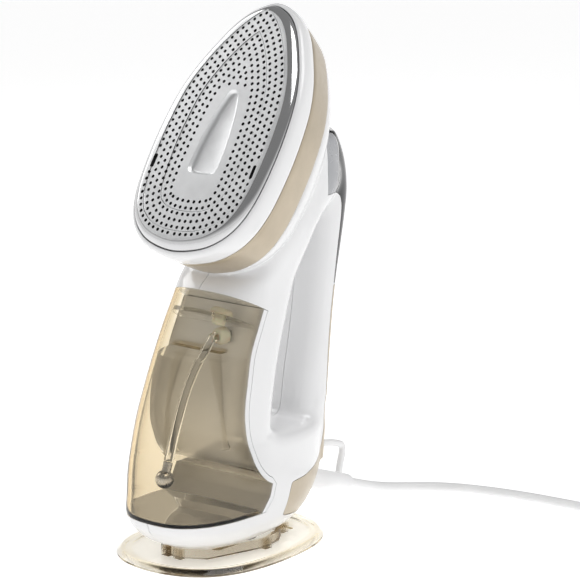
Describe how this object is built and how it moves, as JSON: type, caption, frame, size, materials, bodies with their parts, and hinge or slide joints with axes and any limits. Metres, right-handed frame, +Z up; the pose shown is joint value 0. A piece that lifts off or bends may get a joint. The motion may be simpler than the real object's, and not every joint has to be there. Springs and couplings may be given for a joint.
{
  "type": "handheld garment steamer",
  "caption": "Handheld garment steamer with a lean-back perforated soleplate, lift-out clear water tank, looped grip and oval parking stand.",
  "frame": {"origin": "centre of the stand's underside, on the surface that it rests on", "axes": "+Z up, -Y towards the soleplate and the water tank, +Y towards the grip and the mains lead, X = 0 the plane of symmetry"},
  "size_m": [0.2999, 0.2538, 0.3016],
  "materials": {
    "white": "gloss",
    "champagne": "satin metallic paint",
    "black": "high gloss",
    "pod_grey": "satin",
    "satin_metal": "bead-blasted satin with a polished bevel",
    "cast_alloy": "as cast",
    "steel": "drawn",
    "amber_clear": "clear smoke-amber",
    "clear": "clear",
    "silicone": "matte",
    "cord_grey": "matte",
    "dark_plastic": "matte",
    "board": "solder-masked",
    "brass": "plain",
    "lens": "frosted"
  },
  "bodies": {
    "stand": {"stand": "amber_clear", "cord": "cord_grey", "cord_coil": "cord_grey", "cord_tie": "dark_plastic", "plug_body": "cord_grey", "plug_blade_left": "brass", "plug_blade_right": "brass"},
    "steamer": {"body_shell_right": "white", "body_shell_left": "white", "rear_panel": "black", "control_collar": "pod_grey", "rear_spine": "champagne", "base_cover": "white", "soleplate": "satin_metal", "head_front_ring": "white", "head_band": "champagne", "head_gasket": "silicone", "heater_block": "cast_alloy", "steam_chamber_cover": "cast_alloy", "heating_element": "steel", "thermostat": "steel", "thermal_fuse": "brass", "heat_shield": "dark_plastic", "indicator_lens": "lens", "circuit_board": "board", "steam_switch": "dark_plastic", "power_switch": "dark_plastic", "pump": "brass", "tank_coupling": "dark_plastic", "inlet_hose": "silicone", "steam_hose": "silicone", "cord_strain_relief": "cord_grey", "housing_screw_1": "steel", "housing_screw_2": "steel", "housing_screw_3": "steel", "housing_screw_4": "steel"},
    "tank": {"tank_body": "amber_clear", "tank_back": "white", "tank_lid": "clear", "tank_outlet": "silicone"},
    "stopper": {"filler_stopper": "silicone"},
    "pickup": {"pickup_hose": "clear", "pickup_weight": "steel"},
    "steam_button": {"steam_button": "pod_grey"},
    "power_button": {"power_button": "pod_grey"}
  },
  "joints": [
    {"name": "steamer_lift", "type": "slide", "parent": "stand", "child": "steamer", "axis": [0, 0, 1], "range_m": [0, 0.05]},
    {"name": "tank_release", "type": "slide", "parent": "steamer", "child": "tank", "axis": [0, -1, 0], "range_m": [0, 0.09]},
    {"name": "stopper_pull", "type": "slide", "parent": "tank", "child": "stopper", "axis": [0, 0.4491, 0.8935], "range_m": [0, 0.005]},
    {"name": "pickup_flex", "type": "hinge", "parent": "tank", "child": "pickup", "pos_m": [0.0115, -0.01735, 0.124], "axis": [1, 0, 0], "range_deg": [-2, 5], "stiffness_Nm_per_rad": 0.05, "springref_deg": -1.72},
    {"name": "steam_button_press", "type": "slide", "parent": "steamer", "child": "steam_button", "axis": [0, -1, 0], "range_m": [0, 0.002], "stiffness_N_per_m": 400, "springref_m": -0.001},
    {"name": "power_button_press", "type": "slide", "parent": "steamer", "child": "power_button", "axis": [0, -1, 0], "range_m": [0, 0.0015], "stiffness_N_per_m": 400, "springref_m": -0.001}
  ]
}
